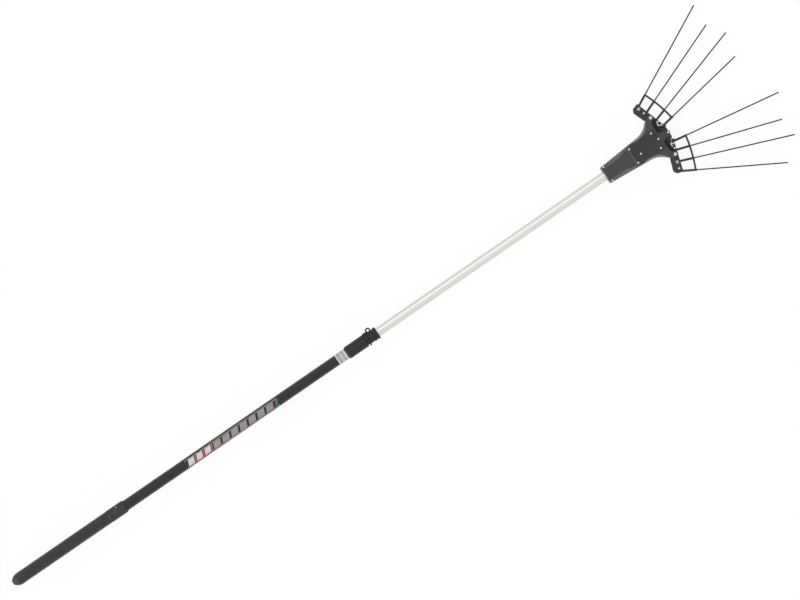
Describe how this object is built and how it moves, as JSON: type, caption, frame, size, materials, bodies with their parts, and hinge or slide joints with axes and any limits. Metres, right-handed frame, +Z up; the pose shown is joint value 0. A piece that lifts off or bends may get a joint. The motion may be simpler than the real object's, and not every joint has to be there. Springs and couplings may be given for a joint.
{
  "type": "electric olive harvester",
  "caption": "Telescopic-pole electric olive harvester: opposed swinging tine combs on a geared crank head, twist-lock clamp, rubber grip and push-button switch.",
  "frame": {"origin": "on the floor under the middle of the whole tool, the pole axis above the X axis", "axes": "+X along the pole from the grip to the tines, +Z up, the combs lie in a level plane"},
  "size_m": [2.909, 0.589, 0.0577],
  "materials": {
    "grip_rubber": "matte moulded",
    "black_tube": "satin black coat",
    "silver_tube": "anodised",
    "black_plastic": "moulded, fine texture",
    "comb_plastic": "moulded",
    "pale_band": "smooth",
    "button_plastic": "smooth",
    "zinc_steel": "zinc plated",
    "steel": "machined",
    "black_steel": "black oxide",
    "bronze": "turned",
    "tine_rod": "dark coated spring steel",
    "nylon": "natural nylon",
    "cable_rubber": "matte",
    "board": "solder mask"
  },
  "bodies": {
    "pole_lower": {"grip": "grip_rubber", "cable_gland": "cable_rubber", "end_plug": "black_plastic", "lower_lead": "cable_rubber", "switch_housing_upper": "black_plastic", "switch_housing_lower": "black_plastic", "switch_module": "black_plastic", "switch_carrier": "nylon", "coiled_lead": "cable_rubber", "lower_tube": "black_tube", "tube_band": "pale_band", "clamp_sleeve": "black_plastic", "eye_ring": "black_plastic", "collet": "nylon"},
    "switch_button": {"switch_button": "button_plastic"},
    "lock_nut": {"lock_nut": "black_plastic"},
    "pole_upper": {"upper_tube": "silver_tube", "guide_bush": "nylon", "upper_lead": "cable_rubber", "housing_upper": "black_plastic", "housing_lower": "black_plastic", "front_cover": "black_plastic", "housing_screws": "zinc_steel", "cover_screws": "zinc_steel", "motor": "steel", "motor_board": "board", "gearhead": "steel", "crank_bearing": "steel", "yoke_rails": "bronze", "pivot_pin_left": "zinc_steel", "pivot_pin_right": "zinc_steel"},
    "pinion": {"bevel_pinion": "steel", "pinion_shaft": "steel"},
    "crank": {"crank_gear": "steel", "crank_shaft": "steel", "crank_pin": "steel"},
    "yoke": {"yoke": "black_steel", "yoke_pins": "steel"},
    "comb_left": {"rocker_left": "black_steel", "comb_frame_left": "comb_plastic", "pivot_bush_left": "bronze", "pivot_washers_left": "nylon", "comb_screws_left": "zinc_steel", "tine_left_1": "tine_rod", "tine_left_2": "tine_rod", "tine_left_3": "tine_rod", "tine_left_4": "tine_rod"},
    "comb_right": {"rocker_right": "black_steel", "comb_frame_right": "comb_plastic", "pivot_bush_right": "bronze", "pivot_washers_right": "nylon", "comb_screws_right": "zinc_steel", "tine_right_1": "tine_rod", "tine_right_2": "tine_rod", "tine_right_3": "tine_rod", "tine_right_4": "tine_rod"}
  },
  "joints": [
    {"name": "pole_slide", "type": "slide", "parent": "pole_lower", "child": "pole_upper", "axis": [1, 0, 0], "range_m": [-0.7, 0], "deforming": ["coiled_lead"]},
    {"name": "lock_nut_twist", "type": "hinge", "parent": "pole_lower", "child": "lock_nut", "pos_m": [-0.04595, 0, 0.027], "axis": [1, 0, 0], "range_deg": [0, 90]},
    {"name": "button_press", "type": "slide", "parent": "pole_lower", "child": "switch_button", "axis": [0, -0.5736, -0.8192], "range_m": [0, 0.0012], "stiffness_N_per_m": 800},
    {"name": "comb_left_swing", "type": "hinge", "parent": "pole_upper", "child": "comb_left", "pos_m": [1.0685, 0.0704, 0.027], "axis": [0, 0, 1], "range_deg": [-10, 10]},
    {"name": "comb_right_swing", "type": "hinge", "parent": "pole_upper", "child": "comb_right", "pos_m": [1.0685, -0.0704, 0.027], "axis": [0, 0, 1], "range_deg": [-10, 10]},
    {"name": "yoke_stroke", "type": "slide", "parent": "pole_upper", "child": "yoke", "axis": [1, 0, 0], "range_m": [-0.00683, 0.00683]},
    {"name": "crank_spin", "type": "hinge", "parent": "pole_upper", "child": "crank", "pos_m": [1.0235, 0, 0.027], "axis": [0, 0, 1], "continuous": true},
    {"name": "pinion_spin", "type": "hinge", "parent": "pole_upper", "child": "pinion", "pos_m": [0.9895, 0, 0.027], "axis": [1, 0, 0], "continuous": true}
  ],
  "couplings": [
    {"joint": "comb_right_swing", "follows": "comb_left_swing", "ratio": -1},
    {"joint": "yoke_stroke", "follows": "comb_left_swing", "m_per_rad": 0.039098},
    {"joint": "pinion_spin", "follows": "crank_spin", "ratio": -3}
  ]
}
